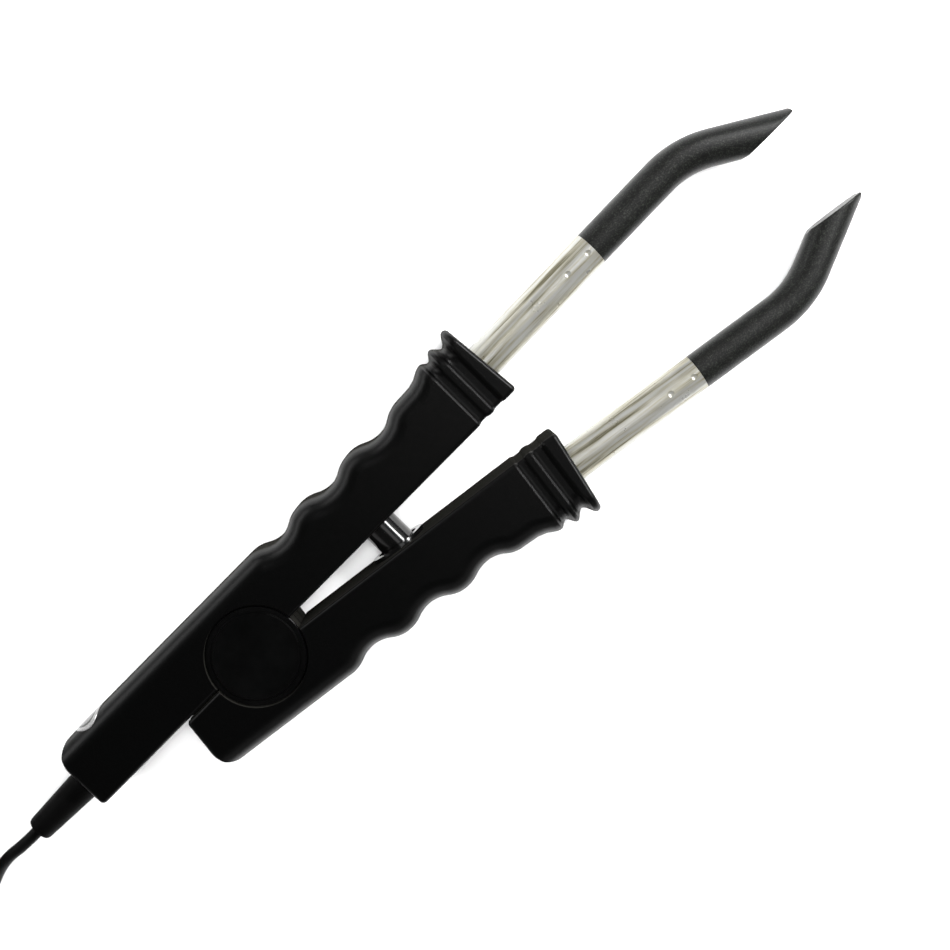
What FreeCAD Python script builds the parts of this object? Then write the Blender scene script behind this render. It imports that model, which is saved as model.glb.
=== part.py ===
import FreeCAD, Part
import Sketcher
import math
import os
from types import SimpleNamespace

# Plier-type heated fusion iron for hair extensions, lying on its broad side.
# +Z is up from the surface it lies on, the hinge axis is the Z axis, and +X runs from the hinge
# to the heated tips along the line where the two tips would meet. The cord handle is on +Y.
# Lengths are millimetres and angles are degrees.

os.makedirs("parts", exist_ok=True)
doc = FreeCAD.newDocument("fusion_iron")
sheet = doc.addObject("Spreadsheet::Sheet", "dim")

SIZES = {
    # the two handles
    "thick": (22.0, "handle thickness"),
    "wall": (2.0, "shell wall"),
    "inner_face": (0.9, "handle's inner face from the meeting line"),
    "grip_y": (19.3, "outer edge of the grip at its crests"),
    "finger_deep": (2.5, "depth of the finger hollows"),
    "finger_pitch": (18.4, "distance between finger hollows"),
    "first_hollow": (25.2, "first finger hollow from the hinge"),
    "edge_round": (5.4, "rounding of the long outer edges"),
    "inner_round": (1.1, "rounding of the long inner edges"),
    "tail_round": (6.5, "rounding of the tails' outer corners"),
    "tail_inner_round": (1.3, "rounding of the tails' inner corners"),
    "cord_tail": (55.8, "cord handle's tail end behind the hinge"),
    "free_tail": (25.0, "free handle's tail end behind the hinge"),
    "nose_long": (24.3, "length of the ribbed nose"),
    "flange_rise": (5.1, "height of the flange over the grip's crests"),
    "front_lean": (5.1, "backward lean of the flange's front towards its outer edge"),
    "front_round": (1.1, "rounding of the flange's front edges"),
    "groove_deep": (0.8, "depth of the nose's grooves on the flat faces"),
    "open_angle": (7.8, "angle between the handles at rest"),
    "stop_gap": (0.35, "gap at the open stop"),
    # hinge
    "hub_round": (13.0, "radius of the hinge ears and tongue"),
    "hub_gap": (0.4, "radial clearance around the hub"),
    "cap_gap": (0.1, "a cap's edge inside the hub's"),
    "cap_rim": (1.6, "width of a cap's lowered rim"),
    "cap_round": ("=hub_round - cap_gap", "radius of the hinge caps"),
    "cap_land": ("=cap_round - cap_rim", "radius of a cap's raised land"),
    "cap_thick": (2.0, "thickness of a cap at its land"),
    "cap_step": (0.6, "height of the land over a cap's rim"),
    "tongue": (6.4, "thickness of the tongue"),
    "washer": (0.5, "thickness of a washer"),
    "washer_round": (8.0, "radius of a washer"),
    "side_gap": (0.1, "axial clearance beside the tongue"),
    "pin_round": (4.0, "radius of the hinge pin"),
    "pin_wall": (1.5, "wall of the hollow hinge pin"),
    "pin_bore": ("=pin_round - pin_wall", "bore of the hinge pin"),
    "run_fit": (0.05, "radial clearance of turning and push fits"),
    # heated arms
    "tube_round": (4.9, "radius of the steel tube and of the tip"),
    "tube_wall": (0.5, "wall of the steel tube"),
    "tube_long": (39.2, "length of tube in front of the flange"),
    "tube_hold": (12.0, "length of tube held inside the nose"),
    "arm_y": (11.35, "tube axis from the meeting line at the flange"),
    "arm_tilt": (0.95, "outward tilt of the tube"),
    "tip_straight": (25.3, "straight length of the tip before its bend"),
    "bend_radius": (27.0, "radius of the tip's bend"),
    "bend_angle": (32.0, "angle of the tip's bend"),
    "plate_gap": (0.15, "bond plate from the meeting line"),
    "toe_blunt": (1.5, "thickness of the tip's blunt toe"),
    "rim_round": (0.4, "rounding of the bond plate's rim"),
    "heel_cut": (0.25, "depth of the blend at the bond plate's heel"),
    "tip_spigot": (11.0, "length of the tip inside the tube"),
    "crimp_first": (1.9, "first crimp from the tube's end"),
    "crimp_pitch": (7.4, "distance between crimps"),
    "heater_round": (3.0, "radius of the cartridge heater"),
    "heater_long": (42.0, "length of the cartridge heater"),
    "heater_set": (4.0, "heater's front behind the start of the bend"),
    "collar_wall": (1.5, "wall of the insulating collar"),
    "collar_round": ("=tube_round + collar_wall", "radius of the insulating collar"),
    "collar_set": (1.6, "collar's front below the flange face"),
    "nose_solid": (9.5, "solid length of the nose around the collar"),
    # spring post
    "post_x": (45.1, "spring post from the hinge"),
    "post_round": (4.85, "radius of the spring post"),
    "post_reach": (11.0, "end of the post past the meeting line"),
    "guide_gap": (1.15, "clearance between post and guide ring"),
    "guide_round": ("=post_round + guide_gap", "bore of the guide ring"),
    "guide_lip": (1.1, "height of the guide ring over the inner face"),
    "spring_round": (2.1, "mean radius of the spring's coils"),
    "spring_wire": (0.8, "spring wire"),
    "spring_gap": (0.8, "clearance around the spring in the post"),
    "post_bore": ("=spring_round + spring_wire / 2 + spring_gap", "bore of the spring post"),
    # screws
    "screw_round": (1.5, "radius of a screw"),
    "head_round": (2.75, "radius of a screw's head"),
    "boss_wall": (1.15, "boss around a screw's head"),
    "boss_round": ("=head_round + boss_wall", "radius of a screw boss"),
    "head_deep": (4.0, "depth of a screw's head below the back face"),
    "head_thick": (2.2, "thickness of a screw's head"),
    "screw_short": (5.0, "a screw's end below the front face"),
    "screw_end": ("=thick - screw_short", "height of a screw's end"),
    # cord
    "cord_y": (7.8, "cord's exit from the meeting line"),
    "cord_round": (1.6, "radius of the cord"),
    "relief_long": (20.6, "strain relief outside the tail"),
    "relief_collar": (4.7, "radius of the strain relief's collar"),
    "relief_base": (4.4, "radius of the strain relief in front of its collar"),
    "relief_round": (3.95, "radius of the strain relief in the tail's wall"),
    "relief_tip": (3.5, "radius of the strain relief's end"),
    "lead_round": (0.7, "radius of a heater lead"),
    "label_round": (4.6, "radius of the round label"),
    "label_thick": (0.15, "thickness of the label"),
    "label_x": (12.5, "label's middle from the tail"),
    "label_drop": (0.5, "label's middle below the start of the edge's rounding"),
}
for line, (alias, (value, meaning)) in enumerate(SIZES.items(), 1):
    sheet.set(f"A{line}", meaning)
    sheet.set(f"B{line}", str(value))
    sheet.setAlias(f"B{line}", alias)
doc.recompute()
s = SimpleNamespace(**{alias: float(sheet.get(alias)) for alias in SIZES})

V = FreeCAD.Vector
X, Y, Z = V(1, 0, 0), V(0, 1, 0), V(0, 0, 1)
turn = FreeCAD.Rotation
CORD, FREE = 1, -1
MID = s.thick / 2
WALL_IN = s.inner_face + s.wall
HOLLOW_Y = s.grip_y - s.finger_deep
FLANGE_Y = s.grip_y + s.flange_rise
NOSE_START = s.first_hollow + 2.5 * s.finger_pitch
NOSE_END = NOSE_START + s.nose_long
TUBE_END = NOSE_END + s.tube_long
BEND_START = TUBE_END + s.tip_straight
HEATER_FRONT = BEND_START - s.heater_set
SLOT = s.hub_round + s.hub_gap
HALF_TONGUE = s.tongue / 2
EAR_LOW = MID - HALF_TONGUE - s.side_gap - s.washer
NODES = []


def arm(side):
    """Where a handle's own frame lies: the free handle is swung open about the hinge."""
    return FreeCAD.Placement(V(), turn(Z, 0 if side == CORD else -s.open_angle))


def axis_y(x):
    """Height of the tube's axis over the meeting line at x."""
    return s.arm_y + (x - NOSE_END) * math.tan(math.radians(s.arm_tilt))


def along(side, x):
    """A placement at x on an arm's tube axis, with its own Z along the tube."""
    spin = turn(Z, side * s.arm_tilt) * turn(Y, 90)
    return arm(side) * FreeCAD.Placement(V(x, side * axis_y(x), MID), spin)


def node(label, shape, place=None):
    """A sub-part whose shape is worked out from the sheet's sizes."""
    piece = doc.addObject("Part::Feature", label)
    piece.Label = label
    piece.Shape = shape
    if place:
        piece.Placement = place
    NODES.append(piece)
    return piece


def revolved(label, outline, place=None):
    """A turned piece: a sketch of radius and height formulas, revolved about the body's Z axis."""
    body = doc.addObject("PartDesign::Body", label)
    body.Label = label
    plane = next(f for f in body.Origin.OriginFeatures if f.Role == "XZ_Plane")
    sketch = body.newObject("Sketcher::SketchObject", label + "_outline")
    sketch.AttachmentSupport = [(plane, "")]
    sketch.MapMode = "FlatFace"
    places = [tuple(float(sheet.evalExpression(f)) for f in pair) for pair in outline]
    for i, (r, z) in enumerate(places):
        r2, z2 = places[(i + 1) % len(places)]
        sketch.addGeometry(Part.LineSegment(V(r, z, 0), V(r2, z2, 0)), False)
    constrain(sketch, outline)
    spin = body.newObject("PartDesign::Revolution", label + "_turned")
    spin.Profile = sketch
    spin.ReferenceAxis = (sketch, ["V_Axis"])
    spin.Angle = 360
    sketch.Visibility = False
    if place:
        body.Placement = place
    NODES.append(body)
    return body


def constrain(sketch, outline):
    """Ties each corner of an outline to its formulas, measured from the sketch's origin."""
    count = len(outline)
    for i, formulas in enumerate(outline):
        sketch.addConstraint(Sketcher.Constraint("Coincident", (i - 1) % count, 2, i, 1))
        for kind, formula, axis in (("DistanceX", formulas[0], -2), ("DistanceY", formulas[1], -1)):
            if formula == "0":
                sketch.addConstraint(Sketcher.Constraint("PointOnObject", i, 1, axis))
                continue
            value = float(sheet.evalExpression(formula))
            number = sketch.addConstraint(Sketcher.Constraint(kind, -1, 1, i, 1, value))
            sketch.setExpression(f"Constraints[{number}]", formula)


def primitive(kind, label, sizes, place=None):
    """A Part primitive with its sizes bound to formulas of the sheet."""
    piece = doc.addObject("Part::" + kind, label)
    for name, formula in sizes.items():
        piece.setExpression(name, formula)
    if place:
        piece.Placement = place
    return piece


def cut(label, base, tools, place=None):
    """A sub-part that is one primitive less others."""
    tool = tools[0]
    if len(tools) > 1:
        tool = doc.addObject("Part::MultiFuse", label + "_tools")
        tool.Shapes = tools
    piece = doc.addObject("Part::Cut", label)
    piece.Label = label
    piece.Base, piece.Tool = base, tool
    if place:
        piece.Placement = place
    NODES.append(piece)
    return piece


def rod(start, end, radius):
    """A round rod between two points."""
    return Part.makeCylinder(radius, (end - start).Length, start, end - start)


def disc(radius, low, high, x=0, y=0):
    """A round block standing between two heights."""
    return Part.makeCylinder(radius, high - low, V(x, y, low))


def block(x0, x1, y0, y1, z0, z1):
    """A box between two corners."""
    return Part.makeBox(x1 - x0, y1 - y0, z1 - z0, V(x0, y0, z0))


# ---- handles -------------------------------------------------------------------------------


def wave(points):
    """Pairs of tangent arcs that join points where the outline runs level."""
    edges = []
    for (x0, y0), (x1, y1) in zip(points, points[1:]):
        dx, dy = x1 - x0, y1 - y0
        radius = (dx * dx + dy * dy) / (4 * abs(dy))
        half = math.asin(dx / 2 / radius) / 2
        rise = math.copysign(radius * (1 - math.cos(half)), dy)
        reach = radius * math.sin(half)
        middle = V(x0 + dx / 2, y0 + dy / 2, 0)
        edges.append(Part.Arc(V(x0, y0, 0), V(x0 + reach, y0 + rise, 0), middle).toShape())
        edges.append(Part.Arc(middle, V(x1 - reach, y1 - rise, 0), V(x1, y1, 0)).toShape())
    return edges


def crests():
    """The finger grip's level points, from the plain tail to the nose."""
    step = s.finger_pitch / 2
    swell = (-0.1, 0, 0.1, 0.2, 0.4)
    points = [(s.first_hollow - step, s.grip_y)]
    for i, more in enumerate(swell):
        level = HOLLOW_Y if i % 2 == 0 else s.grip_y
        points.append((s.first_hollow + i * step, level + more))
    points.append((NOSE_START, nose_edge(0)))
    return points


# Where the nose's outer edge runs level: place from the nose's start, height from the flange's top.
RIBS = ((0, -4.35), (5.0, -4.15), (10.8, -2.0), (12.9, -3.15), (15.3, -1.05), (18.1, -3.1), (21.0, 0))
# The same for the two grooves across its flat faces, as a share of their depth.
GROOVES = ((0, 0), (11.0, 0), (12.2, 1), (13.8, 1), (15.0, 0), (16.0, 0), (17.2, 1), (19.2, 1), (20.4, 0))
RIBBED, RIB_STEP = 9.5, 0.5


def flowing(x, stops):
    """A value that runs level through each stop and smoothly between them."""
    for (x0, v0), (x1, v1) in zip(stops, stops[1:]):
        if x <= x1:
            return v0 + (v1 - v0) * (1 - math.cos(math.pi * (x - x0) / (x1 - x0))) / 2
    return stops[-1][1]


def nose_edge(x):
    """Height of the nose's outer edge at a place from the nose's start."""
    return FLANGE_Y + flowing(x, RIBS)


def section_wire(x, y0, y1, half, outer, inner):
    """A cross-section at x with large rounding on its outer side and small on its inner side."""
    k = math.sqrt(0.5)
    edges = []
    corners = ((y1, half, outer, 1, 1), (y0, half, inner, -1, 1), (y0, -half, inner, -1, -1),
               (y1, -half, outer, 1, -1))
    arcs = []
    for y, z, r, ay, az in corners:
        cy, cz = y - ay * r, z - az * r
        ends = [V(x, cy + ay * r, MID + cz), V(x, cy, MID + cz + az * r)]
        if (ay, az) in ((-1, 1), (1, -1)):
            ends.reverse()
        arcs.append(Part.Arc(ends[0], V(x, cy + ay * r * k, MID + cz + az * r * k), ends[1]))
    for arc, after in zip(arcs, arcs[1:] + arcs[:1]):
        edges += [arc.toShape(), Part.LineSegment(arc.EndPoint, after.StartPoint).toShape()]
    return Part.Wire(edges)


def nose():
    """The solid nose: a smooth loft through its ribs, and a leaning front with rounded edges."""
    places = [RIBBED * i / 4 for i in range(4)]
    while places[-1] < RIBS[-1][0]:
        places.append(max(places[-1] + RIB_STEP, RIBBED))
    places.append(s.nose_long + 2)
    wires = []
    for x in places:
        groove = s.groove_deep * flowing(x, GROOVES)
        low = s.inner_face + 0.4 * groove
        wire = section_wire(NOSE_START + x, low, nose_edge(x), MID - groove, s.edge_round, s.inner_round)
        wires.append(wire)
    body = Part.makeLoft(wires, True, True)
    ahead = block(0, 20, -60, 60, -10, s.thick + 10)
    ahead.rotate(V(), Z, s.front_lean)
    ahead.translate(V(NOSE_END + 0.1, s.inner_face, 0))
    body = body.cut(ahead)
    front = max(body.Faces, key=lambda f: f.CenterOfMass.x)
    return body.makeFillet(s.front_round, front.OuterWire.Edges)


def tail_shape(side):
    """The tail's end, the height of its inner corner, and where the inner face starts to lean away."""
    tail = -(s.cord_tail if side == CORD else s.free_tail)
    lean = math.radians(s.open_angle)
    stop = s.inner_face - s.stop_gap
    ramp = -(stop + s.inner_face * math.cos(lean)) / math.sin(lean)
    if side == CORD:
        return tail, s.inner_face, ramp
    return tail, -(stop + tail * math.sin(lean)) / math.cos(lean), ramp


def grip_outline(side, inset=0.0):
    """The grip seen along Z, from the tail to the nose, moved inwards by inset."""
    tail, tail_low, ramp = tail_shape(side)
    start = crests()[0]
    slope = 0 if side == CORD else math.atan2(tail_low - s.inner_face, ramp - tail)
    ri, ro = s.tail_inner_round, s.tail_round
    # inner corner: tangent to the inner face and to the tail's end
    run = ri * math.tan((math.pi / 2 - slope) / 2)
    a = V(tail + run * math.cos(slope), tail_low - run * math.sin(slope), 0)
    b = V(tail, tail_low + run, 0)
    centre = V(tail + ri, tail_low + run, 0)
    bow = centre + (a + b - centre * 2).normalize() * ri
    c = V(tail, s.grip_y - ro, 0)
    d = V(tail + ro, s.grip_y, 0)
    k = ro * (1 - math.sqrt(0.5))
    edges = [
        Part.Arc(a, bow, b).toShape(),
        Part.LineSegment(b, c).toShape(),
        Part.Arc(c, V(tail + k, s.grip_y - k, 0), d).toShape(),
        Part.LineSegment(d, V(*start, 0)).toShape(),
    ]
    edges += wave(crests())
    end = V(NOSE_START, nose_edge(0), 0)
    foot = V(NOSE_START, s.inner_face, 0)
    edges.append(Part.LineSegment(end, foot).toShape())
    if side == FREE:
        knee = V(ramp, s.inner_face, 0)
        edges += [Part.LineSegment(foot, knee).toShape(), Part.LineSegment(knee, a).toShape()]
    else:
        edges.append(Part.LineSegment(foot, a).toShape())
    wire = Part.Wire(Part.__sortEdges__(edges))
    return Part.Face(wire if not inset else wire.makeOffset2D(-inset))


def polygon(points, height):
    """A prism standing on those (x, y) corners."""
    corners = [V(*point, 0) for point in points]
    return Part.Face(Part.makePolygon(corners + corners[:1])).extrude(V(0, 0, height))


def rounded_grip(side):
    """The solid grip: large rounding along its outer edges, and small rounding on the others."""
    tail, tail_low, ramp = tail_shape(side)
    start = crests()[0]
    behind, below = tail - 20, -30
    corners = [V(NOSE_START, nose_edge(0), 0), V(NOSE_START, below, 0), V(behind, below, 0),
               V(behind, s.grip_y, 0), V(*start, 0)]
    edges = [Part.LineSegment(a, b).toShape() for a, b in zip(corners, corners[1:])] + wave(crests())
    long = Part.Face(Part.Wire(Part.__sortEdges__(edges))).extrude(V(0, 0, s.thick))
    outer = [e for e in long.Edges if e.BoundBox.ZLength < 1e-3 and e.BoundBox.YMin > WALL_IN]
    long = long.makeFillet(s.edge_round, outer)
    points = [(tail, tail_low), (tail, s.grip_y + 0.05), (NOSE_START, FLANGE_Y), (NOSE_START, s.inner_face)]
    if side == FREE:
        points.append((ramp, s.inner_face))
    ends = polygon(points, s.thick)
    upright = [e for e in ends.Edges if e.BoundBox.XMax < tail + 1e-3 and e.BoundBox.YLength < 1e-3]
    upright.sort(key=lambda e: e.BoundBox.YMin)
    ends = ends.makeFillet(s.tail_inner_round, upright[:1])
    upright = [e for e in ends.Edges if e.BoundBox.YMin > s.grip_y and e.BoundBox.XMax < tail + 1e-3]
    ends = ends.makeFillet(s.tail_round, upright)
    flat = [e for e in ends.Edges if e.BoundBox.ZLength < 1e-3 and e.BoundBox.XMin < NOSE_START - 1e-3]
    return long.common(ends.makeFillet(s.inner_round, flat))


def cavity(side):
    """The hollow inside a handle, stepped so that the wall keeps its thickness in the corners."""
    room = grip_outline(side, s.wall).extrude(V(0, 0, s.thick - 4 * s.wall))
    room.translate(V(0, 0, 2 * s.wall))
    deep = grip_outline(side, 2 * s.wall).extrude(V(0, 0, s.thick - 2 * s.wall))
    deep.translate(V(0, 0, s.wall))
    nose_room = block(
        NOSE_START - 2 * s.wall, NOSE_END - s.nose_solid,
        WALL_IN, s.grip_y - s.wall, 1.5 * s.wall, s.thick - 1.5 * s.wall,
    )
    back = NOSE_END - s.nose_solid
    collar_room = block(
        back - 5.5, back, WALL_IN, FLANGE_Y - 3.3 - s.wall, 1.5 * s.wall, s.thick - 1.5 * s.wall
    )
    hub_wall = disc(SLOT + s.wall, 0, s.thick)
    return room.fuse([deep, nose_room, collar_room]).cut(hub_wall)


def screw_places(side):
    """Where a handle's screws stand, in the handle's own frame."""
    low = WALL_IN + s.boss_round + 0.2
    places = [(s.post_x - 17.5, low), (s.post_x + 21.0, low)]
    return places if side == FREE else [(-s.cord_tail + 26.2, low)] + places


def handle(side):
    """One hollow handle with its hub, before it is split into two shells."""
    body = rounded_grip(side).fuse(nose()).cut(cavity(side))
    bosses = [disc(s.boss_round, s.wall, s.thick - s.wall, x, y) for x, y in screw_places(side)]
    body = body.fuse(bosses)
    if side == CORD:
        body = body.cut(disc(SLOT, EAR_LOW, s.thick - EAR_LOW))
        ear = disc(s.hub_round, s.cap_thick, EAR_LOW)
        body = body.fuse([ear, ear.mirror(V(0, 0, MID), Z)])
        cap_room = disc(SLOT, 0, s.cap_thick)
        body = body.cut(cap_room).cut(cap_room.mirror(V(0, 0, MID), Z))
        body = body.fuse(clamp_ledge())
    else:
        low = MID - HALF_TONGUE
        body = body.cut(disc(SLOT, 0, low)).cut(disc(SLOT, s.thick - low, s.thick))
        body = body.fuse(disc(s.hub_round, low, s.thick - low))
        wire_way = block(0, SLOT + 2 * s.wall, -1.6, 1.6, MID - 1.6, MID + 1.6)
        wire_way.translate(V(0, WALL_IN + 1.6, 0))
        body = body.cut(wire_way)
    body = body.cut(disc(s.pin_round + s.run_fit, 0, s.thick))
    for x, y in screw_places(side):
        body = body.cut(disc(s.head_round + 0.35, 0, s.head_deep + s.head_thick, x, y))
        body = body.cut(disc(s.screw_round + s.run_fit, s.wall, s.screw_end + 0.5, x, y))
    bore = s.collar_round + s.run_fit
    front = V(NOSE_END + 1, axis_y(NOSE_END + 1), MID)
    back = V(NOSE_END - s.nose_solid - 1, axis_y(NOSE_END - s.nose_solid - 1), MID)
    body = body.cut(rod(back, front, bore))
    if side == CORD:
        body = body.cut(rod(V(s.post_x, 0, MID), V(s.post_x, WALL_IN + 1, MID), s.post_round + s.run_fit))
        tail = -s.cord_tail
        hole = s.relief_round + s.run_fit
        body = body.cut(rod(V(tail - 1, s.cord_y, MID), V(tail + s.wall + 1, s.cord_y, MID), hole))
    else:
        hole = s.guide_round + 0.9 + s.run_fit
        body = body.cut(rod(V(guide_x(), 0, MID), V(guide_x(), WALL_IN + 1, MID), hole))
    return body


def guide_x():
    """Where the post passes the free handle's inner face, in that handle's own frame."""
    return s.post_x + s.inner_face * math.tan(math.radians(s.open_angle)) + 0.3


# A clamp screw's middle from the cord's side, and the bar's end from the screw's middle.
CLAMP_EDGE = 1.5


def clamp_ledge():
    """The ledge in the back of the tail that the cord is clamped on."""
    x = -s.cord_tail + 11
    ledge = block(x - 2.5, x + 2.5, WALL_IN - 0.5, 14.4, s.wall - 0.5, MID - s.cord_round)
    for y in clamp_rows():
        ledge = ledge.cut(disc(1.0, 5, MID, x, y))
    return ledge


def clamp_rows():
    """Where the two clamp screws stand, either side of the cord."""
    return s.cord_y - s.cord_round - CLAMP_EDGE, s.cord_y + s.cord_round + CLAMP_EDGE


def shells():
    """Each handle is moulded as a back and a front shell that meet halfway up."""
    for side, name in ((CORD, "cord_handle"), (FREE, "free_handle")):
        body = handle(side)
        reach = block(-200, 300, -100, 100, -1, MID)
        for half, shape in (("back", body.common(reach)), ("front", body.cut(reach))):
            if side == FREE:
                shape = shape.mirror(V(), Y)
            solids = shape.Solids
            node(f"{name}_{half}", max(solids, key=lambda one: one.Volume), arm(side))


# ---- hinge ---------------------------------------------------------------------------------


def hinge():
    """A hollow pin through both handles, its washers, and a cap pressed into each end."""
    revolved(
        "hinge_pin",
        [("dim.pin_bore", "dim.cap_thick"), ("dim.pin_round", "dim.cap_thick"),
         ("dim.pin_round", "dim.thick - dim.cap_thick"), ("dim.pin_bore", "dim.thick - dim.cap_thick")],
    )
    plug = "dim.pin_bore - 0.02"
    land = [("0", "0"), ("dim.cap_land", "0"), ("dim.cap_land + 0.3", "dim.cap_step"),
            ("dim.cap_round", "dim.cap_step"), ("dim.cap_round", "dim.cap_thick"),
            (plug, "dim.cap_thick"), (plug, "dim.cap_thick + 4"), ("0", "dim.cap_thick + 4")]
    revolved("hinge_cap_back", land)
    revolved("hinge_cap_front", land, FreeCAD.Placement(V(0, 0, s.thick), turn(X, 180)))
    ring = disc(s.washer_round, 0, s.washer).cut(disc(s.pin_round + s.run_fit, 0, s.washer))
    upper = ring.copy()
    ring.translate(V(0, 0, EAR_LOW))
    upper.translate(V(0, 0, s.thick - EAR_LOW - s.washer))
    node("hinge_washers", Part.Compound([ring, upper]))


# ---- heated arms ---------------------------------------------------------------------------


def steel_tube(side, name):
    """The steel tube between nose and tip, with two crimps that hold the tip's spigot."""
    start = NOSE_END - s.tube_hold
    size = {"Radius": "dim.tube_round", "Height": "dim.tube_long + dim.tube_hold"}
    outer = primitive("Cylinder", name + "_outer", size)
    size = {"Radius": "dim.tube_round - dim.tube_wall", "Height": size["Height"]}
    tools = [primitive("Cylinder", name + "_bore", size)]
    for i in range(2):
        ball = primitive("Sphere", f"{name}_crimp_{i + 1}", {"Radius": "dim.tube_wall * 3"})
        ball.setExpression("Placement.Base.x", "-dim.tube_round - dim.tube_wall * 2.3")
        ball.setExpression(
            "Placement.Base.z",
            f"dim.tube_long + dim.tube_hold - dim.crimp_first - dim.crimp_pitch * {i}",
        )
        tools.append(ball)
    cut(name, outer, tools, along(side, start))


def heated_tip(side, name):
    """The coated tip: a spigot, a straight rod, a bend, and an oblique flat bond plate."""
    tilt = math.radians(s.arm_tilt)
    lean = tilt - math.radians(s.bend_angle)
    end = V(TUBE_END, axis_y(TUBE_END), MID)
    knee = V(BEND_START, axis_y(BEND_START), MID)
    ahead = (knee - end).normalize()
    centre = knee + V(math.sin(tilt), -math.cos(tilt), 0) * s.bend_radius
    bent = centre + V(-math.sin(lean), math.cos(lean), 0) * s.bend_radius
    onward = V(math.cos(lean), math.sin(lean), 0)
    ring = Part.Face(Part.Wire(Part.Circle(knee, ahead, s.tube_round).toShape()))
    bend = ring.revolve(centre, V(0, 0, -1), s.bend_angle)
    nib = rod(bent, bent + onward * 45, s.tube_round)
    body = rod(end, knee, s.tube_round).fuse([bend, nib]).removeSplitter()
    body = body.cut(block(knee.x, 300, -100, s.plate_gap, -50, 80))
    apex = bent + V(-math.sin(lean), math.cos(lean), 0) * s.tube_round
    apex += onward * ((apex.y - s.plate_gap) / -onward.y)
    toe = apex.x - s.toe_blunt / math.tan(-lean)
    body = body.cut(block(toe, 300, -100, 100, -50, 80))
    heel = bent - V(-math.sin(lean), math.cos(lean), 0) * s.tube_round
    heel += onward * ((heel.y - s.plate_gap) / -onward.y) + V(0, s.heel_cut, 0)
    shave = block(-12, 40, -20, 0, -50, 80)
    shave.rotate(V(), Z, math.degrees(lean) / 2)
    shave.translate(heel)
    body = body.cut(shave)
    flats = [f for f in body.Faces if f.Surface.TypeId == "Part::GeomPlane" and f.BoundBox.XMin > knee.x]
    rim = {e.hashCode(): e for f in flats for e in f.Edges}
    body = body.makeFillet(s.rim_round, list(rim.values()))
    spigot = rod(end - ahead * s.tip_spigot, end, s.tube_round - s.tube_wall - 0.02)
    body = body.fuse(spigot)
    bore = s.heater_round + s.run_fit
    heater_end = V(HEATER_FRONT, axis_y(HEATER_FRONT), MID)
    body = body.cut(rod(end - ahead * (s.tip_spigot + 1), heater_end, bore))
    if side == FREE:
        body = body.mirror(V(), Y)
    node(name, body, arm(side))


def heater(side, name):
    """A cartridge heater seated in the tip's bore."""
    revolved(
        name,
        [("0", "0"), ("dim.heater_round - 0.6", "0"), ("dim.heater_round", "0.6"),
         ("dim.heater_round", "dim.heater_long - 0.4"), ("dim.heater_round - 0.4", "dim.heater_long"),
         ("0", "dim.heater_long")],
        along(side, HEATER_FRONT - s.heater_long),
    )


def collar(side, name):
    """The heat-proof collar that holds the tube in the nose, with a shoulder behind the nose wall."""
    long = "dim.nose_solid - dim.collar_set"
    revolved(
        name,
        [("dim.tube_round + dim.run_fit", "-2"), ("dim.collar_round + 1", "-2"),
         ("dim.collar_round + 1", "-0.15"), ("dim.collar_round", "-0.15"), ("dim.collar_round", long),
         ("dim.tube_round + dim.run_fit", long)],
        along(side, NOSE_END - s.nose_solid),
    )


def path(points, radius, bends):
    """A round tube along straight runs joined by tangent arcs of the given radii."""
    edges, here = [], points[0]
    for before, corner, after, bend in zip(points, points[1:], points[2:], bends):
        a, b = (before - corner).normalize(), (after - corner).normalize()
        half = a.getAngle(b) / 2
        reach = bend / math.tan(half)
        start, stop = corner + a * reach, corner + b * reach
        centre = corner + (a + b).normalize() * (bend / math.sin(half))
        middle = centre + (corner - centre).normalize() * bend
        edges.append(Part.LineSegment(here, start).toShape())
        edges.append(Part.Arc(start, middle, stop).toShape())
        here = stop
    edges.append(Part.LineSegment(here, points[-1]).toShape())
    wire = Part.Wire(edges)
    ring = Part.Wire(Part.Circle(points[0], points[1] - points[0], radius).toShape())
    return wire, wire.makePipeShell([ring], True, True)


def leads(side, name):
    """The heater's two wires, from the cord clamp or the hinge to the back of the heater."""
    back = HEATER_FRONT - s.heater_long
    high = HOLLOW_Y - s.wall - 1.6
    axis = axis_y(back)
    around = SLOT + s.wall + 0.9
    aside = s.post_round + 1.3
    wires = []
    for way in (-1, 1):
        near = MID + way * 0.9
        if side == CORD:
            points = [(16.4 - s.cord_tail, s.cord_y), (24.5 - s.cord_tail, s.cord_y + 3.8),
                      (-SLOT - 3.6, around), (SLOT - 2.4, around), (s.first_hollow - 1.2, high),
                      (NOSE_START, high)]
            corners = [V(x, y, near) for x, y in points]
        else:
            far = MID + way * aside
            beside = WALL_IN + 2 * s.boss_round + 1.7
            corners = [V(s.pin_round + 1.6, WALL_IN + 1.6, near), V(SLOT + 4.6, WALL_IN + 1.6, near),
                       V(SLOT + 8.6, beside, far), V(NOSE_START - 1, beside, far)]
        corners += [V(NOSE_END - 15, axis, near), V(back - 0.1, axis, near)]
        wires.append(path(corners, s.lead_round, [2.0] * (len(corners) - 2))[1])
    shape = Part.Compound(wires)
    if side == FREE:
        shape = shape.mirror(V(), Y)
    node(name, shape, arm(side))


# ---- spring post ---------------------------------------------------------------------------


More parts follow.
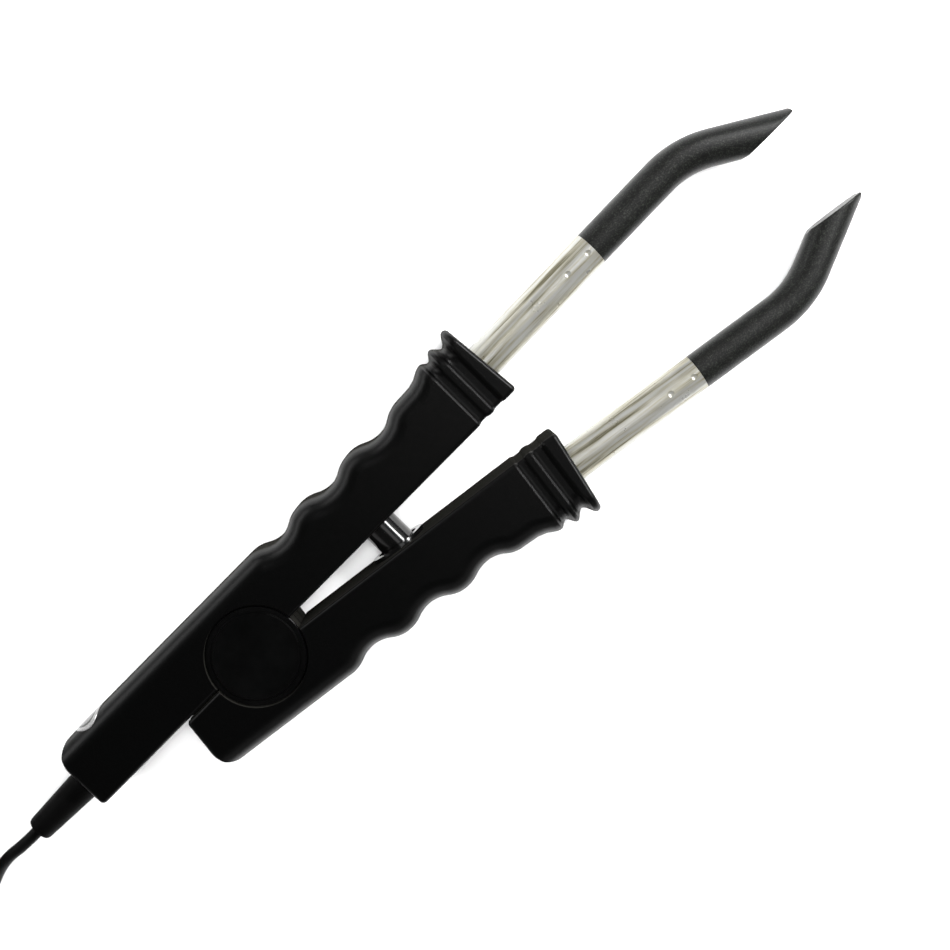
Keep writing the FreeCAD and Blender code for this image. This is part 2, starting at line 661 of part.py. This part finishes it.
def spring_post():
    """The hollow post on the cord handle that enters the free handle and guides the spring."""
    seat = "-(dim.inner_face + dim.wall)"
    revolved(
        "spring_post",
        [("0", seat + " - 2"), ("dim.post_round + 2", seat + " - 2"), ("dim.post_round + 2", seat),
         ("dim.post_round", seat), ("dim.post_round", "dim.post_reach - 0.4"),
         ("dim.post_round - 0.4", "dim.post_reach"), ("dim.post_bore", "dim.post_reach"),
         ("dim.post_bore", "0.6"), ("0", "0.6")],
        FreeCAD.Placement(V(s.post_x, 0, MID), turn(X, 90)),
    )
    revolved(
        "guide_ring",
        [("dim.guide_round", "dim.inner_face - dim.guide_lip"),
         ("dim.guide_round + 1.9", "dim.inner_face - dim.guide_lip"),
         ("dim.guide_round + 1.9", "dim.inner_face"), ("dim.guide_round + 0.9", "dim.inner_face"),
         ("dim.guide_round + 0.9", "dim.inner_face + dim.wall"),
         ("dim.guide_round", "dim.inner_face + dim.wall")],
        arm(FREE) * FreeCAD.Placement(V(guide_x(), 0, MID), turn(X, 90)),
    )
    floor = "dim.grip_y - dim.finger_deep - 0.1 - dim.wall"
    revolved(
        "spring_cup",
        [("0", floor + " - 0.9"), ("dim.spring_round + 0.9", floor + " - 0.9"),
         ("dim.spring_round + 0.9", floor + " - 2.2"), ("dim.spring_round + 1.9", floor + " - 2.2"),
         ("dim.spring_round + 1.9", floor), ("0", floor)],
        arm(FREE) * FreeCAD.Placement(V(cup_x(), 0, MID), turn(X, 90)),
    )
    top = V(s.post_x, -0.7, MID)
    foot = HOLLOW_Y - 0.1 - s.wall - 1.0
    bottom = arm(FREE).multVec(V(cup_x(), -foot, MID))
    long = (bottom - top).Length - s.spring_wire
    helix = Part.makeHelix(long / 9, long, s.spring_round)
    ring = Part.Wire(Part.Circle(V(s.spring_round, 0, 0), Y, s.spring_wire / 2).toShape())
    coil = Part.Wire(helix).makePipeShell([ring], True, True)
    ahead = (bottom - top).normalize()
    node(
        "return_spring", coil,
        FreeCAD.Placement(top + ahead * (s.spring_wire / 2), turn(Z, ahead)),
    )


def cup_x():
    """The spring cup's place along the free handle, under the post at rest."""
    return s.post_x + 1.9


# ---- screws --------------------------------------------------------------------------------


def screw():
    """One self-tapping screw standing on Z, driven in from the back, with a cross slot."""
    low = s.head_deep
    body = disc(s.head_round, low, low + s.head_thick)
    body = body.fuse(disc(s.screw_round, low, s.screw_end)).removeSplitter()
    for x, y in ((s.head_round * 0.62, 0.35), (0.35, s.head_round * 0.62)):
        body = body.cut(block(-x, x, -y, y, low - 1, low + 1.2))
    return body


def screws(side, name):
    """A handle's screws, one group."""
    group = []
    for x, y in screw_places(side):
        one = screw()
        one.translate(V(x, side * y, 0))
        group.append(one)
    node(name, Part.Compound(group), arm(side))


# ---- cord ----------------------------------------------------------------------------------

COIL_CENTRE = V(-118.0, 24.0, 0)
COIL_LOW, TURN, LAYERS = 0.6, 18.0, 4
LEAVES = math.radians(107)
ROUTE = [(-76.4, 7.8, 11.0), (-82.2, 7.8, 11.0), (-88.4, 8.5, 9.4), (-94.2, 7.6, 6.2), (-100.2, 5.6, 3.5),
         (-106.5, 3.6, 2.2)]


def strain_relief():
    """The taper around the cord at the tail, held by a collar and by a shoulder inside the shell."""
    bore, shoulder, end = "dim.cord_round + 0.05", "dim.relief_round + 0.9", "dim.relief_long"
    outline = [(bore, "-4.6"), (shoulder, "-4.6"), (shoulder, "-dim.wall"),
               ("dim.relief_round", "-dim.wall"), ("dim.relief_round", "0.05"),
               ("dim.relief_collar", "0.05"), ("dim.relief_collar", "1.5"),
               ("dim.relief_base", "1.5"), ("dim.relief_tip", end + " - 0.7"),
               ("dim.relief_tip - 0.2", end + " - 0.2"), ("dim.relief_tip - 0.7", end), (bore, end)]
    revolved(
        "strain_relief", outline,
        FreeCAD.Placement(V(-s.cord_tail, s.cord_y, MID), turn(Y, -90)),
    )


def cord_inside():
    """The cord's end inside the tail, and the bar and screws that clamp it."""
    x = -s.cord_tail + 11
    size = {"Radius": "dim.cord_round", "Height": "dim.relief_long + 16"}
    stub = primitive("Cylinder", "cord_inner_end", size)
    stub.Placement = FreeCAD.Placement(V(-s.cord_tail - s.relief_long, s.cord_y, MID), turn(Y, 90))
    NODES.append(stub)
    top = MID + s.cord_round
    low, high = clamp_rows()
    bar = block(x - 2.5, x + 2.5, low - CLAMP_EDGE, high + CLAMP_EDGE, top, top + 2.2)
    bolts = []
    for y in (low, high):
        bar = bar.cut(disc(1.05, top - 1, top + 3, x, y))
        bolt = disc(1.5, top + 2.2, top + 3.6, x, y).fuse(disc(1.0, 5, top + 2.2, x, y))
        bolts.append(bolt.removeSplitter())
    node("cord_clamp_bar", bar)
    node("cord_clamp_screws", Part.Compound(bolts))


def on_turn(radius, angle, z):
    """A point of the coil at an angle about its centre."""
    return COIL_CENTRE + V(radius * math.cos(angle), radius * math.sin(angle), z)


def free_cord():
    """The cord outside the tail: its visible run, its stored coil with a tie, and its plug."""
    points = [V(*p) for p in ROUTE]
    radii = []
    for a, b, c in zip(points, points[1:], points[2:]):
        bend = (b - a).getAngle(c - b)
        radii.append(0.45 * min((b - a).Length, (c - b).Length) / math.tan(bend / 2))
    wire, tube = path(points, s.cord_round, radii)
    node("power_cord", tube)
    bundle = LAYERS * s.cord_round
    ring = block(TURN - bundle, TURN + bundle, -0.01, 0, COIL_LOW, COIL_LOW + 2 * bundle)
    side = max(ring.Faces, key=lambda f: abs(f.normalAt(0, 0).y))
    coil = side.revolve(V(), Z, 360)
    rims = [e for e in coil.Edges if e.Curve.TypeId == "Part::GeomCircle"]
    coil = coil.makeFillet(s.cord_round - 0.1, rims)
    coil.translate(COIL_CENTRE)
    node("cord_coil", coil)
    thin = 0.6
    band = block(TURN - bundle - thin, TURN + bundle + thin, -4, 4, 0, COIL_LOW + 2 * bundle + thin)
    band.rotate(V(), Z, 25)
    band.translate(COIL_CENTRE)
    node("cord_tie", band.cut(coil))
    plug()


# The plug: its half thickness, its lead, neck, body outline and pins.
PLUG_HALF, PLUG_LEAD, PLUG_NECK, PLUG_ROUND = 6.85, 15.0, 12.0, 2.5
PLUG_OUTLINE = ((10, 7), (14, 8.5), (26, 16.5), (38, 16.5))
PIN_LONG, PIN_ROUND, PIN_OFF, PIN_END = 19.0, 2.0, 9.3, 1.2


def plug():
    """A flat two-pin plug on the coil's end, lying beside the coil."""
    start = on_turn(TURN + 3 * s.cord_round, LEAVES, COIL_LOW + (2 * LAYERS - 1) * s.cord_round)
    ahead = V(math.sin(LEAVES), -math.cos(LEAVES), 0)
    lead_end = V(start.x, start.y, PLUG_HALF) + ahead * PLUG_LEAD
    node("plug_lead", rod(start, lead_end, s.cord_round))
    place = FreeCAD.Placement(lead_end, turn(Z, math.degrees(LEAVES) - 90))
    neck = Part.makeCone(s.cord_round + 1, s.cord_round + 2.6, PLUG_NECK, V(), X)
    body = polygon([(x, -y) for x, y in PLUG_OUTLINE] + list(PLUG_OUTLINE)[::-1], 2 * PLUG_HALF)
    body.translate(V(0, 0, -PLUG_HALF))
    rims = [e for e in body.Edges if e.BoundBox.ZLength < 0.01 and e.BoundBox.YLength < 30]
    node("plug_body", neck.fuse(body.makeFillet(PLUG_ROUND, rims)), place)
    front = PLUG_OUTLINE[-1][0]
    pins = []
    for y in (-PIN_OFF, PIN_OFF):
        pin = Part.makeCylinder(PIN_ROUND, PIN_LONG, V(front, y, 0), X)
        end = [e for e in pin.Edges if e.BoundBox.XMin > front + PIN_LONG - 0.1]
        pins.append(pin.makeFillet(PIN_END, end))
    node("plug_pins", Part.Compound(pins), place)


def label():
    """A thin round label wrapped over the tail's rounded outer edge."""
    r, t = s.edge_round, s.label_thick
    cy, cz = s.grip_y - r, s.thick - r
    k = math.sqrt(0.5)

    def strip(reach):
        return [V(0, cy, cz + reach), V(0, cy + reach * k, cz + reach * k), V(0, cy + reach, cz)]

    a0, a1, a2 = strip(r)
    b0, b1, b2 = strip(r + t)
    down = V(0, 0, -6)
    wire = Part.Wire([
        Part.Arc(a0, a1, a2).toShape(), Part.LineSegment(a2, a2 + down).toShape(),
        Part.LineSegment(a2 + down, b2 + down).toShape(), Part.LineSegment(b2 + down, b2).toShape(),
        Part.Arc(b2, b1, b0).toShape(), Part.LineSegment(b0, a0).toShape(),
    ])
    skin = Part.Face(wire).extrude(V(20, 0, 0))
    skin.translate(V(-s.cord_tail + s.label_x - 10, 0, 0))
    centre = V(-s.cord_tail + s.label_x, cy, cz - s.label_drop)
    punch = Part.makeCylinder(s.label_round, 20, centre, Y)
    node("round_label", skin.common(punch))


# ---- the assembly --------------------------------------------------------------------------

shells()
hinge()
for SIDE, WHERE in ((CORD, "cord_side"), (FREE, "free_side")):
    steel_tube(SIDE, f"{WHERE}_tube")
    heated_tip(SIDE, f"{WHERE}_tip")
    heater(SIDE, f"{WHERE}_heater")
    collar(SIDE, f"{WHERE}_collar")
    leads(SIDE, f"{WHERE}_leads")
    screws(SIDE, f"{WHERE}_screws")
spring_post()
strain_relief()
cord_inside()
free_cord()
label()
doc.recompute()

for piece in doc.Objects:
    if "Invalid" in piece.State or "Error" in piece.State:
        raise RuntimeError(f"{piece.Label} is {piece.State}")
for piece in NODES:
    shape = piece.Shape
    if shape.isNull() or not shape.isValid() or shape.Volume <= 0:
        raise RuntimeError(f"{piece.Label} has a bad shape")
    print(f"{piece.Label:24s} {len(shape.Solids)} solid(s) {shape.Volume:10.1f} mm3")
    shape.exportStep(f"parts/{piece.Label}.step")
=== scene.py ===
import math

import bpy
from mathutils import Matrix, Vector

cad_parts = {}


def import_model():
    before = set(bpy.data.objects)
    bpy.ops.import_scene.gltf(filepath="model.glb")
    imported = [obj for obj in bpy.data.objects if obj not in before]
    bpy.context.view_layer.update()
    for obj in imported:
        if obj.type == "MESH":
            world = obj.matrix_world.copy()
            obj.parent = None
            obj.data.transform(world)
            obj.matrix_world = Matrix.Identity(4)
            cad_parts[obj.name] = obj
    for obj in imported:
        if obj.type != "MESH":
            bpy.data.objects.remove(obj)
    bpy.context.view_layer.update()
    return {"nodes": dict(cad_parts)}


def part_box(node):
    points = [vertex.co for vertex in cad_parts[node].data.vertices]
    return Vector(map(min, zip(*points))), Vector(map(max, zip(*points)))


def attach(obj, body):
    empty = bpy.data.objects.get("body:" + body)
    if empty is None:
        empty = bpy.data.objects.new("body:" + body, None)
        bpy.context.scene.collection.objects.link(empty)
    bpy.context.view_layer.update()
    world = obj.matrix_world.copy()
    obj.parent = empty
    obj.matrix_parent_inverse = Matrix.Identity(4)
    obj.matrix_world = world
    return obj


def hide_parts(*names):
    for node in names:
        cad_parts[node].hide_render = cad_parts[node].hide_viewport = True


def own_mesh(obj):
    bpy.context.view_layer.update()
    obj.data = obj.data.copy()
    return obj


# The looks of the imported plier-type fusion iron, in metres in the frame of its solids: +Z is up
# from the surface that it lies on, the hinge axis is Z, and +X runs to the heated tips.

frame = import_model()
nodes = frame["nodes"]
MM = 0.001

# ---- camera --------------------------------------------------------------------------------

AIM = Vector((0.07145, -0.00893, 0.0))
TOWARDS_CAMERA = Vector((0.0512, 0.0870, 0.9949)).normalized()
DISTANCE = 0.3946
ROW_ANGLE = math.radians(45.38)
SENSOR, LENS = 36.0, 55.6


def add_camera():
    """Looks almost straight down, with the iron running up to the right."""
    right = Vector((math.cos(ROW_ANGLE), -math.sin(ROW_ANGLE), 0))
    right = (right - TOWARDS_CAMERA * right.dot(TOWARDS_CAMERA)).normalized()
    up = TOWARDS_CAMERA.cross(right)
    data = bpy.data.cameras.new("camera")
    data.sensor_width = SENSOR
    data.lens = LENS
    data.clip_start = 0.01
    camera = bpy.data.objects.new("camera", data)
    bpy.context.scene.collection.objects.link(camera)
    camera.matrix_world = matrix_of(right, up, TOWARDS_CAMERA, AIM + TOWARDS_CAMERA * DISTANCE)
    bpy.context.scene.camera = camera


def matrix_of(x, y, z, place):
    """A placement with those three axes."""
    rows = [[x[i], y[i], z[i], place[i]] for i in range(3)]
    return Matrix(rows + [[0, 0, 0, 1]])


add_camera()

# ---- cord ----------------------------------------------------------------------------------

CORD_ROUND = 1.6 * MM
# The route in millimetres, from the strain relief down to the coil.
ROUTE = [(-76.4, 7.8, 11.0), (-82.2, 7.8, 11.0), (-88.4, 8.5, 9.4), (-94.2, 7.6, 6.2), (-100.2, 5.6, 3.5),
         (-106.5, 3.6, 2.2)]
COIL_CENTRE = Vector((-118.0, 24.0, 0.6)) * MM
INNER_TURN = 13.2 * MM
RINGS, LAYERS = 4, 4
# Where the cord enters and leaves the coil, in degrees about its centre.
ENTERS, LEAVES = -75.0, 107.0
LEAD = 15.0 * MM
POINTS_A_TURN = 20
TURNS = LAYERS * RINGS - 1 + (360 + ENTERS - LEAVES) / 360
# A change of ring or of layer takes one of the sectors of a turn.
SECTORS = 7


def step(x):
    """A smooth step from 0 to 1."""
    x = min(max(x, 0.0), 1.0)
    return x * x * (3 - 2 * x)


def coil_slots():
    """The ring and the layer of each turn: the layers go inwards and outwards by turns."""
    slots = []
    for layer in range(LAYERS):
        slots += [(ring if layer % 2 else RINGS - 1 - ring, layer) for ring in range(RINGS)]
    return slots


def change_sector(change):
    """Which sector of a turn a change of ring or of layer takes: a later one comes before it."""
    layer, place = divmod(change, RINGS)
    return 2 * layer + (1 if place == RINGS - 1 else 0)


def coil_points():
    """Control points of the coil, laid ring by ring and layer by layer."""
    slots = coil_slots()
    sector = 360 / SECTORS
    points = []
    count = round(TURNS * POINTS_A_TURN)
    grow = 1 / math.cos(math.pi / POINTS_A_TURN)
    for i in range(count + 1):
        travelled = 360 * TURNS * i / count
        ring, layer = slots[0]
        for change in range(len(slots) - 1):
            start = 360 * (change + 1) - sector * (change_sector(change) + 1)
            done = step((travelled - start) / sector)
            ring += (slots[change + 1][0] - slots[change][0]) * done
            layer += (slots[change + 1][1] - slots[change][1]) * done
        radius = (INNER_TURN + ring * 2 * CORD_ROUND) * grow
        angle = math.radians(ENTERS - travelled)
        across = Vector((radius * math.cos(angle), radius * math.sin(angle), 0))
        points.append(COIL_CENTRE + across + Vector((0, 0, CORD_ROUND * (1 + 2 * layer))))
    return points


def cord_points():
    """The listed route, the coil, and the short lead to the plug."""
    points = [Vector(p) * MM for p in ROUTE] + coil_points()
    angle = math.radians(LEAVES)
    ahead = Vector((math.sin(angle), -math.cos(angle), 0))
    top = points[-1]
    plug_low, plug_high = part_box("plug_body")
    end = top + ahead * LEAD
    end.z = (plug_low[2] + plug_high[2]) / 2
    # two points that bend the lead down from the coil's top to the plug
    for share, fall in ((0.33, 0.15), (0.67, 0.85)):
        point = top + ahead * LEAD * share
        point.z = top.z + (end.z - top.z) * fall
        points.append(point)
    points.append(end)
    return points


def curve_object(name, points, radius, material):
    """A round tube on a smooth spline with those control points."""
    data = bpy.data.curves.new(name, "CURVE")
    data.dimensions = "3D"
    data.bevel_depth = radius
    data.bevel_resolution = 5
    data.resolution_u = 4
    data.use_fill_caps = True
    spline = data.splines.new("NURBS")
    spline.points.add(len(points) - 1)
    for place, point in zip(spline.points, points):
        place.co = (*point, 1.0)
    spline.order_u = 3
    spline.use_endpoint_u = True
    piece = bpy.data.objects.new(name, data)
    bpy.context.scene.collection.objects.link(piece)
    data.materials.append(material)
    return piece


# ---- materials -----------------------------------------------------------------------------

# The colour sockets of a mix node: its two inputs and its output.
MIX_A, MIX_B, MIXED = 6, 7, 2
# Streaks of drawn metal: along the piece and across it.
WIRE_STREAK = (1.2 * MM, 0.25 * MM, 0.25 * MM)
TUBE_STREAK = (22 * MM, 0.9 * MM, 0.9 * MM)
# How far the steel tubes turn about Z from +X, each with its own handle.
CORD_TUBE_TURN, FREE_TUBE_TURN = math.radians(0.95), math.radians(-8.75)
# From the middle of the label to just past its rim.
LABEL_REACH = 5.2 * MM


class Surface:
    """A procedural surface under construction: its nodes, links and shader."""

    def __init__(self, name):
        self.material = bpy.data.materials.new(name)
        self.material.use_nodes = True
        self.tree = self.material.node_tree
        self.shader = self.tree.nodes["Principled BSDF"]
        self.place = self.tree.nodes.new("ShaderNodeTexCoord").outputs["Object"]

    def set(self, **values):
        """Sets values on the shader's own sockets."""
        for name, value in values.items():
            self.shader.inputs[name.replace("_", " ")].default_value = value

    def put(self, output, name):
        """Feeds one of the shader's sockets."""
        self.tree.links.new(output, self.shader.inputs[name])

    def stretched(self, scale, turn=0.0):
        """Object coordinates, turned about Z and scaled along the three axes."""
        node = self.tree.nodes.new("ShaderNodeMapping")
        node.vector_type = "TEXTURE"
        node.inputs["Rotation"].default_value[2] = turn
        node.inputs["Scale"].default_value = scale
        self.tree.links.new(self.place, node.inputs["Vector"])
        return node.outputs["Vector"]

    def noise(self, size, detail=3.0, rough=0.55, vector=None):
        """Noise with features of that size in metres, or of a stretched vector's scale."""
        node = self.tree.nodes.new("ShaderNodeTexNoise")
        node.inputs["Scale"].default_value = 1 / size if size else 1.0
        node.inputs["Detail"].default_value = detail
        node.inputs["Roughness"].default_value = rough
        self.tree.links.new(vector or self.place, node.inputs["Vector"])
        return node.outputs["Fac"]

    def ramp(self, value, *stops):
        """A colour ramp through (position, colour) stops."""
        node = self.tree.nodes.new("ShaderNodeValToRGB")
        ramp = node.color_ramp
        while len(ramp.elements) < len(stops):
            ramp.elements.new(0.5)
        for element, (position, colour) in zip(ramp.elements, stops):
            element.position = position
            element.color = (*colour, 1) if isinstance(colour, tuple) else (colour, colour, colour, 1)
        self.tree.links.new(value, node.inputs["Fac"])
        return node.outputs["Color"]

    def spread(self, value, low, high, from_low=0.3, from_high=0.7):
        """Maps a value's range to another."""
        node = self.tree.nodes.new("ShaderNodeMapRange")
        node.inputs["From Min"].default_value = from_low
        node.inputs["From Max"].default_value = from_high
        node.inputs["To Min"].default_value = low
        node.inputs["To Max"].default_value = high
        self.tree.links.new(value, node.inputs["Value"])
        return node.outputs["Result"]

    def mixed(self, kind):
        """A colour mix node of that kind."""
        node = self.tree.nodes.new("ShaderNodeMix")
        node.data_type = "RGBA"
        node.blend_type = kind
        return node

    def bump(self, height, depth):
        """Bumps of that depth in metres."""
        node = self.tree.nodes.new("ShaderNodeBump")
        node.inputs["Strength"].default_value = 1.0
        node.inputs["Distance"].default_value = depth
        self.tree.links.new(height, node.inputs["Height"])
        self.put(node.outputs["Normal"], "Normal")


def moulded(name, dark, light, rough, grain, depth, specular=0.5, coat=0.0):
    """Moulded plastic or rubber with a fine grain."""
    surface = Surface(name)
    surface.put(surface.ramp(surface.noise(12 * MM), (0.35, dark), (0.7, light)), "Base Color")
    surface.put(surface.spread(surface.noise(4 * MM), *rough), "Roughness")
    surface.bump(surface.noise(grain, 2.0), depth)
    surface.set(Specular_IOR_Level=specular, Coat_Weight=coat)
    return surface.material


def shell(name):
    """Glossy black plastic where it looks up, and matt on the upright faces and below, whose dark grey
    colour is a painted sheen.
    """
    surface = Surface(name)
    tree = surface.tree
    split = tree.nodes.new("ShaderNodeSeparateXYZ")
    tree.links.new(tree.nodes.new("ShaderNodeNewGeometry").outputs["Normal"], split.inputs[0])
    upward = surface.spread(split.outputs["Z"], 0.0, 1.0, 0.08, 0.5)
    # Painted sheen: faces that stand upright or look down get a speckled dark grey base colour for the
    # grey light they catch at a grazing angle, while the tops stay near black.
    painted_sheen_grey = surface.ramp(
        surface.noise(0.6 * MM, 4.0), (0.35, (0.018, 0.018, 0.016)), (0.7, (0.03, 0.029, 0.026)),
    )
    mix = surface.mixed("MIX")
    tree.links.new(upward, mix.inputs["Factor"])
    tree.links.new(painted_sheen_grey, mix.inputs[MIX_A])
    mix.inputs[MIX_B].default_value = (0.0005, 0.0005, 0.0005, 1)
    surface.put(mix.outputs[MIXED], "Base Color")
    surface.put(surface.spread(upward, 0.0, 0.2, 0.0, 1.0), "Specular IOR Level")
    surface.put(surface.spread(upward, 0.75, 0.3, 0.0, 1.0), "Roughness")
    surface.bump(surface.noise(0.35 * MM, 2.0), 0.03 * MM)
    return surface.material


def metal(name, dark, light, rough):
    """Drawn metal with faint streaks along X."""
    surface = Surface(name)
    streaks = surface.noise(None, 4.0, vector=surface.stretched(WIRE_STREAK))
    surface.put(surface.ramp(streaks, (0.3, dark), (0.7, light)), "Base Color")
    surface.put(surface.spread(streaks, *rough), "Roughness")
    surface.bump(streaks, 0.01 * MM)
    surface.set(Metallic=1.0)
    return surface.material


def coated(name):
    """Black non-stick coating with a sandy speckle."""
    surface = Surface(name)
    speck = surface.noise(0.35 * MM, 2.0, 0.6)
    surface.put(surface.ramp(speck, (0.5, 0.0008), (0.74, (0.024, 0.027, 0.022))), "Base Color")
    surface.put(surface.spread(surface.noise(6 * MM), 0.36, 0.46), "Roughness")
    surface.bump(speck, 0.05 * MM)
    surface.set(Specular_IOR_Level=0.3)
    return surface.material


def foil(name, centre):
    """A round silver label: a light rim, a thin dark ring, and a speckled middle."""
    surface = Surface(name)
    tree = surface.tree
    away = tree.nodes.new("ShaderNodeVectorMath")
    away.operation = "DISTANCE"
    tree.links.new(surface.place, away.inputs[0])
    away.inputs[1].default_value = centre
    distance = surface.spread(away.outputs["Value"], 0.0, 1.0, 0.0, LABEL_REACH)
    rings = surface.ramp(
        distance, (0.0, 0.2), (0.56, 0.24), (0.62, 0.05), (0.68, 0.07), (0.74, 0.42), (1.0, 0.36),
    )
    speck = surface.ramp(surface.noise(0.5 * MM), (0.4, 0.45), (0.6, 1.0))
    mix = surface.mixed("MULTIPLY")
    mix.inputs["Factor"].default_value = 0.6
    tree.links.new(rings, mix.inputs[MIX_A])
    tree.links.new(speck, mix.inputs[MIX_B])
    surface.put(mix.outputs[MIXED], "Base Color")
    surface.put(surface.spread(surface.noise(1.5 * MM), 0.3, 0.45), "Roughness")
    surface.set(Metallic=0.7)
    return surface.material


def tube_steel(name, turn):
    """Stainless tube, slightly straw coloured, with long streaks that turn with the tube."""
    surface = Surface(name)
    streaks = surface.noise(None, 5.0, vector=surface.stretched(TUBE_STREAK, turn))
    cloud = surface.noise(5 * MM, 3.0)
    tint = surface.ramp(
        streaks, (0.34, (0.12, 0.11, 0.07)), (0.46, (0.34, 0.325, 0.26)), (0.62, (0.42, 0.42, 0.4)),
    )
    surface.put(tint, "Base Color")
    surface.put(surface.spread(cloud, 0.26, 0.38), "Roughness")
    surface.bump(streaks, 0.02 * MM)
    surface.set(Metallic=0.7)
    return surface.material


def middle(node):
    """The middle of a CAD node's box."""
    low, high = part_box(node)
    return tuple((a + b) / 2 for a, b in zip(low, high))


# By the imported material's name, or by the node's where its pieces are turned differently.
FINISHES = {
    "handle_plastic": shell("handle_black"),
    "cap_plastic": moulded("cap_black", 0.0003, 0.0007, (0.28, 0.36), 0.5 * MM, 0.015 * MM, 0.2),
    "post_plastic": moulded("post_black", 0.0015, 0.0025, (0.12, 0.2), 1.5 * MM, 0.01 * MM, 0.5, 0.3),
    "inner_plastic": moulded("inner_grey", 0.02, 0.04, (0.4, 0.5), 0.5 * MM, 0.02 * MM),
    "collar_phenolic": moulded(
        "collar_brown", (0.05, 0.03, 0.02), (0.1, 0.06, 0.035), (0.4, 0.55), 0.4 * MM, 0.02 * MM,
    ),
    "cord_side_tube": tube_steel("tube_stainless", CORD_TUBE_TURN),
    "free_side_tube": tube_steel("tube_stainless_free", FREE_TUBE_TURN),
    "tip_coating": coated("tip_black"),
    "heater_steel": metal("heater_sheath", 0.35, 0.55, (0.3, 0.45)),
    "lead_insulation": moulded(
        "lead_red", (0.25, 0.02, 0.015), (0.4, 0.04, 0.03), (0.4, 0.5), 0.5 * MM, 0.01 * MM,
    ),
    "hardware_steel": metal("zinc_steel", 0.5, 0.7, (0.25, 0.4)),
    "spring_steel": metal("spring_wire", 0.3, 0.5, (0.25, 0.35)),
    "relief_rubber": moulded("relief_black", 0.0006, 0.0012, (0.5, 0.62), 0.4 * MM, 0.04 * MM, 0.06),
    "cord_rubber": moulded("cord_black", 0.0008, 0.0016, (0.4, 0.52), 0.4 * MM, 0.02 * MM, 0.1),
    "tie_plastic": moulded("tie_black", 0.01, 0.02, (0.35, 0.45), 0.6 * MM, 0.02 * MM),
    "plug_plastic": moulded("plug_black", 0.005, 0.01, (0.35, 0.5), 0.5 * MM, 0.03 * MM, 0.45),
    "pin_metal": metal("pin_nickel", 0.55, 0.75, (0.15, 0.28)),
    "label_foil": foil("label_silver", middle("round_label")),
}


def dress():
    """Gives every CAD node its own surface, or that of the slot that its packed material names."""
    for name, piece in nodes.items():
        for place in piece.material_slots:
            place.material = FINISHES.get(name) or FINISHES[place.material.name.split(".")[0]]


dress()

cable = curve_object("mains_cable", cord_points(), CORD_ROUND, FINISHES["cord_rubber"])
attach(cable, "cord_body")
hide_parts("power_cord", "cord_coil", "plug_lead")


def soft_spring():
    """The return spring, as its own copy of the packed mesh on the cord handle."""
    packed = nodes["return_spring"]
    spring = bpy.data.objects.new("return_coil", packed.data.copy())
    bpy.context.scene.collection.objects.link(spring)
    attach(spring, "cord_body")
    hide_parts("return_spring")
    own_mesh(spring)


soft_spring()

# ---- floor and light -----------------------------------------------------------------------

FLOOR_HALF, FLOOR_DROP = 1.5, 0.05 * MM
# The world's brightness by the height looked at, from the horizon to straight up.
SKY = ((0.0, 0.1), (0.12, 0.3), (0.3, 1.0), (0.55, 1.0), (0.7, 0.12), (1.0, 0.03))


def floor():
    """A plain pale floor, just under the iron."""
    signs = ((-1, -1), (1, -1), (1, 1), (-1, 1))
    corners = [(x * FLOOR_HALF, y * FLOOR_HALF, 0) for x, y in signs]
    mesh = bpy.data.meshes.new("floor")
    mesh.from_pydata(corners, [], [(0, 1, 2, 3)])
    ground = bpy.data.objects.new("floor", mesh)
    ground.location.z = -FLOOR_DROP
    bpy.context.scene.collection.objects.link(ground)
    surface = Surface("floor_white")
    surface.put(surface.ramp(surface.noise(0.2), (0.3, 0.92), (0.7, 0.94)), "Base Color")
    surface.set(Roughness=0.9, Specular_IOR_Level=0.1)
    mesh.materials.append(surface.material)


def softbox(name, place, size, power, mirrored=True):
    """A soft light aimed at the iron, which shows in its gloss only where mirrored."""
    data = bpy.data.lights.new(name, "AREA")
    data.shape = "RECTANGLE"
    data.size, data.size_y = size
    data.energy = power
    lamp = bpy.data.objects.new(name, data)
    lamp.location = place
    lamp.rotation_euler = (AIM - Vector(place)).to_track_quat("-Z", "Y").to_euler()
    lamp.visible_glossy = mirrored
    bpy.context.scene.collection.objects.link(lamp)


def world(strength):
    """Soft surroundings: a bright band all round, dim low down, and dark straight above."""
    scene_world = bpy.data.worlds.new("studio")
    scene_world.use_nodes = True
    tree = scene_world.node_tree
    place = tree.nodes.new("ShaderNodeTexCoord")
    split = tree.nodes.new("ShaderNodeSeparateXYZ")
    ramp = tree.nodes.new("ShaderNodeValToRGB")
    while len(ramp.color_ramp.elements) < len(SKY):
        ramp.color_ramp.elements.new(0.5)
    for element, (height, shade) in zip(ramp.color_ramp.elements, SKY):
        element.position = height
        element.color = (shade, shade, shade, 1)
    tree.links.new(place.outputs["Generated"], split.inputs[0])
    tree.links.new(split.outputs["Z"], ramp.inputs["Fac"])
    background = tree.nodes["Background"]
    tree.links.new(ramp.outputs["Color"], background.inputs["Color"])
    background.inputs["Strength"].default_value = strength
    bpy.context.scene.world = scene_world


bpy.context.scene.view_settings.view_transform = "Standard"
floor()
world(0.42)
softbox("ceiling", (0.07, 0.0, 0.95), (0.9, 0.9), 6.0, mirrored=False)
softbox("camera_fill", AIM + TOWARDS_CAMERA * 0.5, (0.12, 0.12), 1.7, mirrored=False)
softbox("tube_glow", (0.27, 0.02, 0.95), (0.9, 0.3), 0.8)
softbox("back_rim", (-0.25, 0.75, 0.35), (0.9, 0.3), 2.2)
softbox("tip_strip", (0.62, 0.0, 0.55), (0.7, 0.1), 9.0)
